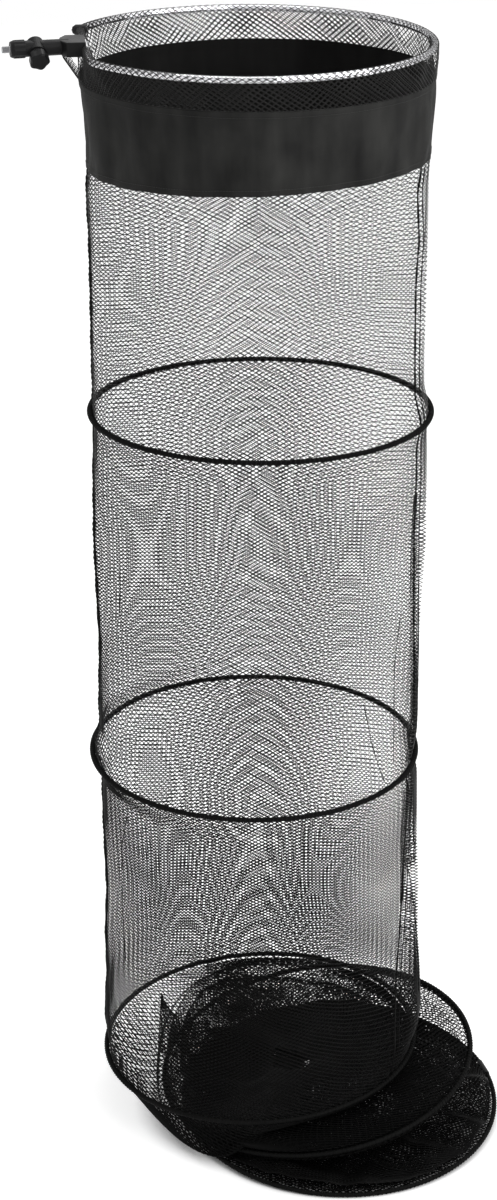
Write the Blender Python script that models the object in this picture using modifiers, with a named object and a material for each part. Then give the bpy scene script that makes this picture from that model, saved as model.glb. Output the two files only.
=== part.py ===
"""Keep net: a round net tube on six rings, hung from a bank stick adaptor.

Metres, +Z up. The origin is on the adaptor's threaded stud, at the outer face of its
lock collar, and +X runs from the stud along the adaptor to the net. The net hangs
straight down from the top ring, and its lowest two rings lie in a heap.
"""

from math import atan2, cos, pi, radians, sin, sqrt

import bmesh
import bpy
from mathutils import Euler, Matrix, Vector

# Adaptor: threaded stud, lock collar and tilting hub
STUD_RADIUS = 0.0047625
STUD_SHOWING = 0.0113
THREAD_PITCH = 0.00127
THREAD_DEPTH = 0.0006
COLLAR_LENGTH = 0.0195
COLLAR_NOSE_RADIUS = 0.0104
COLLAR_RADIUS = 0.0119
COLLAR_NOSE = 0.004
COLLAR_RIB = 0.0008
COLLAR_RIB_COUNT = 12
SHOULDER_RADIUS = 0.011
SHOULDER_LENGTH = 0.0032
HUB_RADIUS = 0.0118
HUB_HALF_WIDTH = 0.01085
HUB_SWEEP_GAP = 0.0005
HUB_ROLL = radians(118)
ARM_RADIUS = 0.01085
HUB_TO_RING = 0.0676
EDGE_ROUND = 0.0012

# Clamp bolt, washer and star knob
BOLT_RADIUS = 0.003
BOLT_HEAD_RADIUS = 0.0058
BOLT_HEAD_HEIGHT = 0.0036
WASHER_RADIUS = 0.0085
WASHER_THICKNESS = 0.0016
KNOB_STEM_RADIUS = 0.0080
KNOB_STEM_HEIGHT = 0.0040
KNOB_RADIUS = 0.0122
KNOB_LOBE = 0.0020
KNOB_LOBE_COUNT = 5
KNOB_HEIGHT = 0.0140
KNOB_TOP = 0.0035
KNOB_ROUND = 0.0020
INSERT_RADIUS = 0.0048
INSERT_LENGTH = 0.0120
BOLT_END_SPACE = 0.0015

# Bracket that holds the flat of the top ring
BRACKET_LENGTH = 0.034
BRACKET_FLARE = 0.008
BRACKET_WIDTH = 0.056
BRACKET_HEIGHT = 0.020
BRACKET_TURN = radians(-8)

# Top ring: aluminium tube, round but for a flat at the bracket
TOP_RING_RADIUS = 0.2535
TUBE_RADIUS = 0.0045
TUBE_WALL = 0.0010
FLAT_HALF_ANGLE = radians(27)
CORNER_REACH = 0.020
PLUG_LENGTH = 0.052
SCREW_SPACING = 0.034
SCREW_RADIUS = 0.0015
SCREW_HEAD_RADIUS = 0.0028
SCREW_HEAD_HEIGHT = 0.0018
SCREW_BITE = 0.012
GUARD_RADIUS = 0.0075
GUARD_REACH = 0.0140
GUARD_INSIDE = 0.0085

# Lower rings: wire hoops in stitched sleeves, with a net tube between them
RING_RADIUS = 0.247
HOOP_RADIUS = 0.0019
SLEEVE_RADIUS = 0.0032
SLEEVE_WALL = 0.0007
SLEEVE_SLIT = radians(50)
NET_THICKNESS = 0.0012
SECTION_1 = 0.5283
SECTION_2 = 0.5435
SECTION_3 = 0.5190
COLLAR_NET_HEIGHT = 0.037
BAND_HEIGHT = 0.111
BAND_TOP_RADIUS = 0.2460
BAND_FOOT_RADIUS = 0.2385
WAIST_1_RADIUS = 0.2385
WAIST_2_RADIUS = 0.2395
WAIST_3_RADIUS = 0.2420
HEAP_WAIST_RADIUS = 0.070
HEAP_GAP_4_5 = 0.0041
HEAP_GAP_5_6 = 0.0076
HEAP_LAYER_1 = 0.0140
HEAP_LAYER_2 = 0.0100
HEAP_LAYER_3 = 0.0170
HEAP_LAYER_4 = 0.0180
BASE_LIFT = 0.0050
CLIP_LENGTH = 0.034
CLIP_RADIUS = 0.0055
CLIP_EDGE = 0.0010

# Where each lower ring hangs, beside the top ring's centre, as shares of the ring's radius
RING_2_SHIFT_SHARES = (0.0632, 0.0)
RING_3_SHIFT_SHARES = (0.0271, 0.0)
RING_4_SHIFT_SHARES = (0.0692, 0.0)
RING_5_SHIFT_SHARES = (0.4352, -0.1130)
RING_6_SHIFT_SHARES = (0.5761, -0.2915)
# Rise of each ring's plane towards +X and +Y of the net's own frame
RING_2_SLOPES = (0.0, -0.0209)
RING_3_SLOPES = (0.0, 0.0)
RING_4_SLOPES = (0.0427, 0.0014)
RING_5_SLOPES = (0.1403, 0.0623)
RING_6_SLOPES = (-0.0060, 0.0555)

# How far the net leans at the band, as a share of the lower rings' radius
NET_LEAN_SHARE = 0.0405
# Bearings where the coarse net dips under the bracket, as shares of the flat's half angle
DIP_SHARE = 1.15
DIP_RISE_SHARE = 0.4

# Clearances
TOUCH_GAP = 0.0003
THREAD_GAP = 0.0003
CUT_OVERRUN = 0.010
MERGE_DISTANCE = 0.00001

# Grid of openings that stands for the mesh of the net, two facets of the rings to an opening
RING_SIDES = 32
GRID_COLUMNS = RING_SIDES // 2
GRID_ROWS = 4
GRID_BAR_SHARE = 0.22

# Facets
WIRE_SIDES = 6
SLEEVE_SIDES = 6
TURNED_SIDES = 28
STUD_SIDES = 20
HOLE_SIDES = 20

hub_x = COLLAR_LENGTH + TOUCH_GAP + SHOULDER_LENGTH + HUB_RADIUS + HUB_SWEEP_GAP
ring_x = hub_x + HUB_TO_RING
flat_distance = TOP_RING_RADIUS * cos(FLAT_HALF_ANGLE)
flat_half = TOP_RING_RADIUS * sin(FLAT_HALF_ANGLE)
NET_TURN = radians(-15)
# direction from the flat to the ring's centre, and the centre itself
inward = Vector((cos(BRACKET_TURN), sin(BRACKET_TURN), 0))
ring_centre = Vector((ring_x, 0, 0)) + inward * flat_distance

for old in list(bpy.data.objects):
    bpy.data.objects.remove(old, do_unlink=True)

model = bpy.data.collections.new("keep_net")
cutters = bpy.data.collections.new("cutters")
bpy.context.scene.collection.children.link(model)
bpy.context.scene.collection.children.link(cutters)


def place(obj, parent=None, location=(0, 0, 0), rotation=(0, 0, 0)):
    obj.parent = parent
    obj.location = location
    obj.rotation_euler = rotation
    return obj


def empty(name, location, rotation=(0, 0, 0), parent=None):
    obj = bpy.data.objects.new(name, None)
    obj.empty_display_size = HUB_RADIUS
    model.objects.link(obj)
    return place(obj, parent, location, rotation)


def paint(obj, color, roughness, metallic):
    material = bpy.data.materials.new(obj.name)
    material.use_nodes = True
    shader = material.node_tree.nodes["Principled BSDF"]
    shader.inputs["Base Color"].default_value = (*color, 1)
    shader.inputs["Roughness"].default_value = roughness
    shader.inputs["Metallic"].default_value = metallic
    obj.data.materials.clear()
    obj.data.materials.append(material)
    return obj


def from_bmesh(name, bm, smooth=True, cutter=False):
    mesh = bpy.data.meshes.new(name)
    bmesh.ops.recalc_face_normals(bm, faces=bm.faces)
    bm.to_mesh(mesh)
    bm.free()
    if smooth:
        mesh.shade_smooth()
        mesh.set_sharp_from_angle(angle=radians(35))
    obj = bpy.data.objects.new(name, mesh)
    if cutter:
        obj.hide_render = True
        obj.display_type = "WIRE"
        cutters.objects.link(obj)
    else:
        model.objects.link(obj)
    return obj


def cylinder(name, radius, low, high, sides=TURNED_SIDES, end_radius=None, cutter=False):
    """A cylinder or cone along local Z from low to high."""
    bm = bmesh.new()
    bmesh.ops.create_cone(bm, cap_ends=True, segments=sides, radius1=radius,
                          radius2=radius if end_radius is None else end_radius, depth=high - low)
    bmesh.ops.translate(bm, verts=bm.verts, vec=(0, 0, (low + high) / 2))
    return from_bmesh(name, bm, cutter=cutter)


def block(name, low, high, cutter=False):
    """A box between two corners."""
    bm = bmesh.new()
    bmesh.ops.create_cube(bm, size=1)
    size = [b - a for a, b in zip(low, high)]
    middle = [(a + b) / 2 for a, b in zip(low, high)]
    bmesh.ops.transform(bm, matrix=Matrix.Translation(middle) @ Matrix.Diagonal((*size, 1)), verts=bm.verts)
    return from_bmesh(name, bm, smooth=False, cutter=cutter)


def rows_tube(name, count, sides, where, cap=False):
    """A unit tube cut into rows, each point moved to where(row, angle); row 0 is on top."""
    bm = bmesh.new()
    bmesh.ops.create_cone(bm, cap_ends=cap, segments=sides, radius1=1, radius2=1, depth=1)
    upright = [e for e in bm.edges if e.verts[0].co.z * e.verts[1].co.z < 0]
    if count > 2:
        bmesh.ops.subdivide_edges(bm, edges=upright, cuts=count - 2, use_grid_fill=True)
    for vert in bm.verts:
        row = round((0.5 - vert.co.z) * (count - 1))
        vert.co = where(row, atan2(vert.co.y, vert.co.x))
    return from_bmesh(name, bm)


def star(name, rows, rib, ribs, sides):
    """A turned solid with ribs: rows of (height, radius, share of the rib), top first."""
    def where(row, angle):
        height, radius, rib_share = rows[row]
        reach = radius + rib * rib_share * (1 + cos(ribs * angle)) / 2
        return (reach * cos(angle), reach * sin(angle), height)
    return rows_tube(name, len(rows), sides, where, cap=True)


def turned(name, outline, sides=TURNED_SIDES, cutter=False):
    """A profile of (radius, height) points, listed from the top down, turned about local Z."""
    mesh = bpy.data.meshes.new(name)
    mesh.from_pydata([(r, 0, z) for r, z in outline], [(i, i + 1) for i in range(len(outline) - 1)], [])
    obj = bpy.data.objects.new(name, mesh)
    (cutters if cutter else model).objects.link(obj)
    if cutter:
        obj.hide_render = True
        obj.display_type = "WIRE"
    screw = obj.modifiers.new("turn", "SCREW")
    screw.axis = "Z"
    screw.steps = sides
    screw.render_steps = sides
    screw.use_merge_vertices = True
    screw.merge_threshold = MERGE_DISTANCE
    screw.use_smooth_shade = True
    return obj


def boolean(obj, tool, operation="DIFFERENCE"):
    cut = obj.modifiers.new(tool.name, "BOOLEAN")
    cut.object = tool
    cut.operation = operation
    cut.solver = "EXACT"
    return obj


def soften(obj, width, angle=35, segments=2):
    bevel = obj.modifiers.new("edges", "BEVEL")
    bevel.width = width
    bevel.segments = segments
    bevel.limit_method = "ANGLE"
    bevel.angle_limit = radians(angle)
    return obj


def solid_sheet(obj, thickness=NET_THICKNESS):
    solidify = obj.modifiers.new("thickness", "SOLIDIFY")
    solidify.thickness = thickness
    solidify.offset = 0
    return obj


def tube_mesh(name, points, radius, cyclic=False, caps=True, resolution=2, cutter=False):
    """A round tube along points, as a mesh with its caps welded."""
    curve = bpy.data.curves.new(name, "CURVE")
    curve.dimensions = "3D"
    curve.bevel_depth = radius
    curve.bevel_resolution = resolution
    curve.use_fill_caps = caps
    spline = curve.splines.new("POLY")
    spline.points.add(len(points) - 1)
    for point, place_at in zip(spline.points, points):
        point.co = (*place_at, 1)
    spline.use_cyclic_u = cyclic
    guide = bpy.data.objects.new(name + "_path", curve)
    model.objects.link(guide)
    made = guide.evaluated_get(bpy.context.evaluated_depsgraph_get())
    mesh = bpy.data.meshes.new_from_object(made)
    bpy.data.objects.remove(guide, do_unlink=True)
    bm = bmesh.new()
    bm.from_mesh(mesh)
    bmesh.ops.remove_doubles(bm, verts=bm.verts, dist=MERGE_DISTANCE)
    return from_bmesh(name, bm, cutter=cutter)


# Frames: the hub's axis, the bracket at the middle of the ring's flat, and the net
hub_frame = empty("hub_frame", (hub_x, 0, 0), (HUB_ROLL, 0, 0))
bracket_frame = empty("bracket_frame", (ring_x, 0, 0), (0, 0, BRACKET_TURN))
net_frame = empty("net_frame", ring_centre, (0, 0, NET_TURN))

black = (0.012, 0.012, 0.013)
dark = (0.02, 0.02, 0.021)
steel = (0.50, 0.50, 0.51)

# Threaded stud and the lock collar on it
stud_end = COLLAR_LENGTH + TOUCH_GAP + SHOULDER_LENGTH - TOUCH_GAP
thread_count = int((STUD_SHOWING - THREAD_PITCH) / THREAD_PITCH)
stud_outline = [(0, STUD_SHOWING), (STUD_RADIUS - THREAD_DEPTH, STUD_SHOWING)]
for turn in range(thread_count):
    crest = STUD_SHOWING - THREAD_PITCH * (turn + 0.5)
    stud_outline.append((STUD_RADIUS, crest))
    stud_outline.append((STUD_RADIUS - THREAD_DEPTH, crest - THREAD_PITCH / 2))
stud_outline += [(STUD_RADIUS, stud_outline[-1][1] - THREAD_PITCH / 2), (STUD_RADIUS, -stud_end), (0, -stud_end)]
stud = turned("threaded_stud", stud_outline, STUD_SIDES)
place(stud, rotation=(0, radians(-90), 0))
paint(stud, steel, 0.3, 1)

collar_rows = [
    (0, COLLAR_NOSE_RADIUS, 0),
    (-COLLAR_NOSE, COLLAR_RADIUS, 0),
    (-COLLAR_NOSE - COLLAR_RIB, COLLAR_RADIUS, 1),
    (-COLLAR_LENGTH, COLLAR_RADIUS, 1),
]
collar = star("lock_collar", collar_rows, COLLAR_RIB, COLLAR_RIB_COUNT, 4 * COLLAR_RIB_COUNT)
place(collar, rotation=(0, radians(-90), 0))
collar_bore = cylinder("collar_bore", STUD_RADIUS + THREAD_GAP, -COLLAR_LENGTH - CUT_OVERRUN, CUT_OVERRUN,
                       STUD_SIDES, cutter=True)
place(collar_bore, rotation=(0, radians(-90), 0))
boolean(collar, collar_bore)
paint(collar, black, 0.5, 0)

# Front half of the tilting hub: shoulder behind the collar and an ear on the knob's side
front = cylinder("adaptor_front", SHOULDER_RADIUS, COLLAR_LENGTH + TOUCH_GAP, hub_x)
place(front, rotation=(0, radians(90), 0))
front_ear = cylinder("front_ear", HUB_RADIUS, 0, HUB_HALF_WIDTH, cutter=True)
place(front_ear, hub_frame)
boolean(front, front_ear, "UNION")
front_room = cylinder("front_room", HUB_RADIUS + HUB_SWEEP_GAP, -HUB_HALF_WIDTH - CUT_OVERRUN,
                      TOUCH_GAP / 2, cutter=True)
place(front_room, hub_frame)
boolean(front, front_room)
stud_socket = cylinder("stud_socket", STUD_RADIUS + THREAD_GAP, stud_end - SHOULDER_LENGTH - CUT_OVERRUN,
                       stud_end + TOUCH_GAP / 2, STUD_SIDES, cutter=True)
place(stud_socket, rotation=(0, radians(90), 0))
boolean(front, stud_socket)
bolt_hole = cylinder("bolt_hole", BOLT_RADIUS + THREAD_GAP, -HUB_HALF_WIDTH - CUT_OVERRUN,
                     HUB_HALF_WIDTH + CUT_OVERRUN, HOLE_SIDES, cutter=True)
place(bolt_hole, hub_frame)
boolean(front, bolt_hole)
paint(front, black, 0.5, 0)

# Clamp bolt through both ears, with its head behind the arm's ear
head_face = HUB_HALF_WIDTH + TOUCH_GAP
washer_low = HUB_HALF_WIDTH + TOUCH_GAP
knob_low = washer_low + WASHER_THICKNESS + TOUCH_GAP
bolt_top = knob_low + INSERT_LENGTH
bolt = turned("pivot_bolt", [
    (0, bolt_top),
    (BOLT_RADIUS, bolt_top),
    (BOLT_RADIUS, -head_face),
    (BOLT_HEAD_RADIUS, -head_face),
    (BOLT_HEAD_RADIUS, -head_face - BOLT_HEAD_HEIGHT / 2),
    (BOLT_RADIUS, -head_face - BOLT_HEAD_HEIGHT),
    (0, -head_face - BOLT_HEAD_HEIGHT),
], HOLE_SIDES)
place(bolt, hub_frame)
paint(bolt, steel, 0.3, 1)

washer = turned("clamp_washer", [
    (BOLT_RADIUS + THREAD_GAP, washer_low + WASHER_THICKNESS),
    (WASHER_RADIUS, washer_low + WASHER_THICKNESS),
    (WASHER_RADIUS, washer_low),
    (BOLT_RADIUS + THREAD_GAP, washer_low),
    (BOLT_RADIUS + THREAD_GAP, washer_low + WASHER_THICKNESS),
])
place(washer, hub_frame)
paint(washer, steel, 0.3, 1)

# Star knob moulded round a threaded insert
knob_head_low = knob_low + KNOB_STEM_HEIGHT
knob_top = knob_head_low + KNOB_HEIGHT
knob = star("clamp_knob", [
    (knob_top, KNOB_RADIUS - KNOB_ROUND, 1),
    (knob_top - KNOB_ROUND, KNOB_RADIUS, 1),
    (knob_head_low + KNOB_ROUND / 2, KNOB_RADIUS, 1),
    (knob_head_low, KNOB_RADIUS - KNOB_ROUND / 2, 1),
], KNOB_LOBE, KNOB_LOBE_COUNT, 8 * KNOB_LOBE_COUNT)
place(knob, hub_frame)
knob_stem = cylinder("knob_stem", KNOB_STEM_RADIUS, knob_low, knob_head_low + KNOB_ROUND, cutter=True)
place(knob_stem, hub_frame)
boolean(knob, knob_stem, "UNION")
knob_bore = cylinder("knob_bore", INSERT_RADIUS + THREAD_GAP, knob_low - CUT_OVERRUN,
                     bolt_top + BOLT_END_SPACE, HOLE_SIDES, cutter=True)
place(knob_bore, hub_frame)
boolean(knob, knob_bore)
paint(knob, black, 0.45, 0)

insert = turned("knob_insert", [
    (BOLT_RADIUS + THREAD_GAP, bolt_top),
    (INSERT_RADIUS, bolt_top),
    (INSERT_RADIUS, knob_low + TOUCH_GAP),
    (BOLT_RADIUS + THREAD_GAP, knob_low + TOUCH_GAP),
    (BOLT_RADIUS + THREAD_GAP, bolt_top),
], HOLE_SIDES)
place(insert, hub_frame)
paint(insert, (0.60, 0.43, 0.16), 0.35, 1)

# Arm: ear behind the front ear, round arm, and the flared bracket on the ring's flat
arm = cylinder("adaptor_arm", ARM_RADIUS, hub_x, ring_x - BRACKET_LENGTH + ARM_RADIUS)
place(arm, rotation=(0, radians(90), 0))
arm_ear = cylinder("arm_ear", HUB_RADIUS, -HUB_HALF_WIDTH, 0, cutter=True)
place(arm_ear, hub_frame)
boolean(arm, arm_ear, "UNION")
arm_room = cylinder("arm_room", HUB_RADIUS + HUB_SWEEP_GAP, -TOUCH_GAP / 2,
                    HUB_HALF_WIDTH + CUT_OVERRUN, cutter=True)
place(arm_room, hub_frame)
boolean(arm, arm_room)
boolean(arm, bolt_hole)

outline = [
    (-BRACKET_LENGTH, ARM_RADIUS),
    (BRACKET_FLARE - BRACKET_LENGTH, BRACKET_WIDTH / 2),
    (0, BRACKET_WIDTH / 2),
    (0, -BRACKET_WIDTH / 2),
    (BRACKET_FLARE - BRACKET_LENGTH, -BRACKET_WIDTH / 2),
    (-BRACKET_LENGTH, -ARM_RADIUS),
]
bm = bmesh.new()
corners = [bm.verts.new((x, y, -BRACKET_HEIGHT / 2)) for x, y in outline]
plate = bm.faces.new(corners)
lifted = bmesh.ops.extrude_face_region(bm, geom=[plate])
bmesh.ops.translate(bm, verts=[g for g in lifted["geom"] if isinstance(g, bmesh.types.BMVert)],
                    vec=(0, 0, BRACKET_HEIGHT))
bracket = from_bmesh("bracket_block", bm, smooth=False, cutter=True)
soften(bracket, EDGE_ROUND)
place(bracket, bracket_frame)
boolean(arm, bracket, "UNION")
groove = cylinder("ring_groove", TUBE_RADIUS + TOUCH_GAP, -BRACKET_WIDTH, BRACKET_WIDTH, cutter=True)
place(groove, bracket_frame, rotation=(radians(90), 0, 0))
boolean(arm, groove)
paint(arm, black, 0.5, 0)

# Top ring: tube bent to a circle with one flat, its ends butted at the middle of the flat
def ring_point(angle):
    return Vector((flat_distance - TOP_RING_RADIUS * cos(angle), TOP_RING_RADIUS * sin(angle), 0))


corner = ring_point(FLAT_HALF_ANGLE)
leave = Vector((0, flat_half - CORNER_REACH, 0))
join_angle = FLAT_HALF_ANGLE + CORNER_REACH / TOP_RING_RADIUS
join = ring_point(join_angle)
half_path = [Vector((0, TOUCH_GAP / 2, 0)), Vector((0, flat_half / 2, 0)), leave]
for step in range(1, 4):
    t = step / 4
    half_path.append(leave * (1 - t) ** 2 + corner * 2 * t * (1 - t) + join * t ** 2)
arc_steps = RING_SIDES // 2 - 1
for step in range(arc_steps):
    half_path.append(ring_point(join_angle + (pi - join_angle) * step / arc_steps))
far_point = ring_point(pi)
mirrored = [Vector((p.x, -p.y, p.z)) for p in reversed(half_path)]
ring_path = half_path + [far_point] + mirrored

tube = tube_mesh("top_ring_tube", ring_path, TUBE_RADIUS, caps=False)
place(tube, bracket_frame)
wall = tube.modifiers.new("wall", "SOLIDIFY")
wall.thickness = TUBE_WALL
wall.offset = -1
paint(tube, (0.72, 0.72, 0.74), 0.25, 1)

plug_radius = TUBE_RADIUS - TUBE_WALL - TOUCH_GAP
plug = cylinder("ring_plug", plug_radius, -PLUG_LENGTH / 2, PLUG_LENGTH / 2, HOLE_SIDES)
place(plug, bracket_frame, rotation=(radians(90), 0, 0))
paint(plug, steel, 0.3, 1)

# Two screws through the tube and its plug into the bracket
for index, side in enumerate((-1, 1)):
    at = (0, side * SCREW_SPACING / 2, 0)
    screw = turned(f"ring_screw_{index + 1}", [
        (0, TUBE_RADIUS + TOUCH_GAP + SCREW_HEAD_HEIGHT),
        (SCREW_HEAD_RADIUS * 0.6, TUBE_RADIUS + TOUCH_GAP + SCREW_HEAD_HEIGHT),
        (SCREW_HEAD_RADIUS, TUBE_RADIUS + TOUCH_GAP + SCREW_HEAD_HEIGHT / 2),
        (SCREW_HEAD_RADIUS, TUBE_RADIUS + TOUCH_GAP),
        (SCREW_RADIUS, TUBE_RADIUS + TOUCH_GAP),
        (SCREW_RADIUS, -TUBE_RADIUS - SCREW_BITE),
        (0, -TUBE_RADIUS - SCREW_BITE - SCREW_RADIUS),
    ], 12)
    place(screw, bracket_frame, at, (0, radians(90), 0))
    paint(screw, steel, 0.3, 1)
    hole = cylinder(f"screw_hole_{index + 1}", SCREW_RADIUS + TOUCH_GAP,
                    -TUBE_RADIUS - SCREW_BITE - 2 * SCREW_RADIUS, TUBE_RADIUS + CUT_OVERRUN, 12, cutter=True)
    place(hole, bracket_frame, at, (0, radians(90), 0))
    boolean(tube, hole)
    boolean(plug, hole)
    boolean(arm, hole)

# Moulded guard on the back corner of the ring
guard = turned("corner_guard", [
    (0, GUARD_REACH),
    (GUARD_RADIUS * 0.6, GUARD_REACH - GUARD_RADIUS * 0.2),
    (GUARD_RADIUS, GUARD_REACH - GUARD_RADIUS * 0.8),
    (GUARD_RADIUS, -GUARD_INSIDE + GUARD_RADIUS / 2),
    (GUARD_RADIUS / 2, -GUARD_INSIDE),
    (0, -GUARD_INSIDE),
], 24)
place(guard, bracket_frame, half_path[4], (0, radians(-90), 0))
guard_bore = tube_mesh("guard_bore", half_path[1:9], TUBE_RADIUS + TOUCH_GAP, cutter=True)
place(guard_bore, bracket_frame)
boolean(guard, guard_bore)
paint(guard, black, 0.4, 0)


# Net: rings hang on the net between them
class Ring:
    def __init__(self, shift_shares, slopes, height):
        self.centre = Vector((shift_shares[0] * RING_RADIUS, shift_shares[1] * RING_RADIUS, height))
        self.slopes = slopes
        upright = Vector((-slopes[0], -slopes[1], 1)).normalized()
        self.turn = Vector((0, 0, 1)).rotation_difference(upright)

    def rim(self, radius, angle, height=0):
        return self.centre + self.turn @ Vector((radius * cos(angle), radius * sin(angle), height))

    def height_at(self, x, y):
        return self.centre.z + self.slopes[0] * (x - self.centre.x) + self.slopes[1] * (y - self.centre.y)


def resting_ring(upper, shift_shares, slopes, gap):
    """A ring laid under another: lowered until their sleeves clear by gap where they cross."""
    ring = Ring(shift_shares, slopes, 0)
    apart = (ring.centre - upper.centre).xy
    middle = (ring.centre + upper.centre).xy / 2
    half_chord = sqrt(RING_RADIUS ** 2 - apart.length_squared / 4)
    across = Vector((-apart.y, apart.x)).normalized() * half_chord
    heights = []
    for crossing in (middle + across, middle - across):
        heights.append(upper.height_at(*crossing) - 2 * SLEEVE_RADIUS - gap - ring.height_at(*crossing))
    return Ring(shift_shares, slopes, min(heights))


ring_2 = Ring(RING_2_SHIFT_SHARES, RING_2_SLOPES, -SECTION_1)
ring_3 = Ring(RING_3_SHIFT_SHARES, RING_3_SLOPES, ring_2.centre.z - SECTION_2)
ring_4 = Ring(RING_4_SHIFT_SHARES, RING_4_SLOPES, ring_3.centre.z - SECTION_3)
ring_5 = resting_ring(ring_4, RING_5_SHIFT_SHARES, RING_5_SLOPES, HEAP_GAP_4_5)
ring_6 = resting_ring(ring_5, RING_6_SHIFT_SHARES, RING_6_SLOPES, HEAP_GAP_5_6)
rings = {2: ring_2, 3: ring_3, 4: ring_4, 5: ring_5, 6: ring_6}

sleeve_middle = SLEEVE_RADIUS - SLEEVE_WALL / 2
for number, ring in rings.items():
    turn = ring.turn.to_euler()
    bpy.ops.mesh.primitive_torus_add(major_radius=RING_RADIUS, minor_radius=HOOP_RADIUS,
                                     major_segments=RING_SIDES, minor_segments=WIRE_SIDES)
    hoop = bpy.context.object
    hoop.name = f"ring_{number}_hoop"
    hoop.data.name = hoop.name
    for holder in list(hoop.users_collection):
        holder.objects.unlink(hoop)
    model.objects.link(hoop)
    hoop.data.shade_smooth()
    place(hoop, net_frame, ring.centre, turn)
    paint(hoop, (0.30, 0.30, 0.31), 0.4, 1)
    reach = pi - SLEEVE_SLIT / 2
    profile = []
    for step in range(SLEEVE_SIDES + 1):
        angle = reach - 2 * reach * step / SLEEVE_SIDES
        profile.append((RING_RADIUS + sleeve_middle * cos(angle), sleeve_middle * sin(angle)))
    sleeve = turned(f"ring_{number}_sleeve", profile, RING_SIDES)
    solid_sheet(sleeve, SLEEVE_WALL)
    place(sleeve, net_frame, ring.centre, turn)
    paint(sleeve, black, 0.8, 0)

# The wall's middle surface lies just inside the sleeves
hang_radius = RING_RADIUS - SLEEVE_RADIUS - TOUCH_GAP - NET_THICKNESS / 2
fold_radius = RING_RADIUS - SLEEVE_RADIUS - TOUCH_GAP * 2
edge_lift = TOUCH_GAP * 2 / 3
layer_lift = NET_THICKNESS / 2 + TOUCH_GAP
arm_under = max(BRACKET_HEIGHT / 2, ARM_RADIUS, GUARD_RADIUS) + TOUCH_GAP * 2
tube_under = TUBE_RADIUS + TOUCH_GAP
flat_bearing = pi + BRACKET_TURN - NET_TURN


def smooth(value):
    value = max(0, min(1, value))
    return value * value * (3 - 2 * value)


def top_edge(angle):
    """The coarse net's top edge: up under the tube, and down under the bracket."""
    off = abs((angle - flat_bearing + pi) % (2 * pi) - pi)
    rise = smooth((off - FLAT_HALF_ANGLE * DIP_SHARE) / (FLAT_HALF_ANGLE * DIP_RISE_SHARE))
    return -(arm_under + (tube_under - arm_under) * rise)


band_lean = NET_LEAN_SHARE * RING_RADIUS
band_foot = -COLLAR_NET_HEIGHT - BAND_HEIGHT


def collar_place(row, angle):
    t = row / 2
    top = top_edge(angle)
    foot = -COLLAR_NET_HEIGHT + TOUCH_GAP / 2
    radius = TOP_RING_RADIUS + (BAND_TOP_RADIUS - TOP_RING_RADIUS) * t
    return (radius * cos(angle) + band_lean * t, radius * sin(angle), top + (foot - top) * t)


def band_place(row, angle):
    t = row / 2
    low = band_foot + TOUCH_GAP / 2
    high = -COLLAR_NET_HEIGHT - TOUCH_GAP / 2
    radius = BAND_TOP_RADIUS + (BAND_FOOT_RADIUS - BAND_TOP_RADIUS) * t
    lean = band_lean + (ring_2.centre.x - band_lean) * t / 2
    return (radius * cos(angle) + lean, radius * sin(angle), high + (low - high) * t)


collar_net = solid_sheet(rows_tube("mesh_collar", 3, RING_SIDES, collar_place))
place(collar_net, net_frame)
paint(collar_net, dark, 0.8, 0)
band = solid_sheet(rows_tube("fabric_band", 3, RING_SIDES, band_place))
place(band, net_frame)
paint(band, black, 0.85, 0)


def facet_share(angle):
    """How far out the rings' facets lie at an angle, as a share of their corners' radius."""
    facet = 2 * pi / RING_SIDES
    return cos(facet / 2) / cos(angle % facet - facet / 2)


def band_rim(angle):
    radius = BAND_FOOT_RADIUS * facet_share(angle)
    lean = band_lean + (ring_2.centre.x - band_lean) / 2
    return Vector((radius * cos(angle) + lean, radius * sin(angle), band_foot - TOUCH_GAP / 2))


def hang_rim(ring, lift):
    return lambda angle: ring.rim(hang_radius * facet_share(angle), angle, lift)


def fold_rim(ring, lift):
    return lambda angle: ring.rim(fold_radius * facet_share(angle), angle, lift)


# The edges of the net's level bars, as shares of the way down it
bar_height = GRID_BAR_SHARE / GRID_ROWS
bar_edges = []
for bar in range(GRID_ROWS + 1):
    high_edge = bar * (1 - bar_height) / GRID_ROWS
    bar_edges += [high_edge, high_edge + bar_height]


def net_tube(name, where):
    """A net tube with a plain grid of openings; where(share, angle) places its points."""
    pitch = 2 * pi / GRID_COLUMNS
    bar_half = pitch * GRID_BAR_SHARE / 2
    angles = [pitch * column + step for column in range(GRID_COLUMNS) for step in (-bar_half, bar_half, pitch / 2)]
    bm = bmesh.new()
    points = [[bm.verts.new(where(share, angle)) for angle in angles] for share in bar_edges]
    for row in range(len(bar_edges) - 1):
        for column in range(len(angles)):
            in_level_bar = row % 2 == 0
            in_upright_bar = column % 3 == 0
            if in_level_bar or in_upright_bar:
                follow = (column + 1) % len(angles)
                bm.faces.new((points[row][column], points[row][follow],
                              points[row + 1][follow], points[row + 1][column]))
    panel = solid_sheet(from_bmesh(name, bm))
    place(panel, net_frame)
    paint(panel, dark, 0.8, 0)


def hanging_panel(name, upper_rim, lower_rim, waist_radius):
    """A net tube between two rims, drawn in to a waist between them."""
    def where(share, angle):
        middle = upper_rim(angle).lerp(lower_rim(angle), share)
        axis = (upper_rim(0) + upper_rim(pi)).lerp(lower_rim(0) + lower_rim(pi), share) / 2
        axis.z = middle.z
        draw = 4 * share * (1 - share) * (waist_radius / hang_radius - 1)
        return middle + (middle - axis) * draw

    net_tube(name, where)


hanging_panel("net_panel_1", band_rim, hang_rim(ring_2, edge_lift), WAIST_1_RADIUS)
hanging_panel("net_panel_2", hang_rim(ring_2, -edge_lift), hang_rim(ring_3, edge_lift), WAIST_2_RADIUS)
hanging_panel("net_panel_3", hang_rim(ring_3, -edge_lift), hang_rim(ring_4, edge_lift), WAIST_3_RADIUS)


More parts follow.
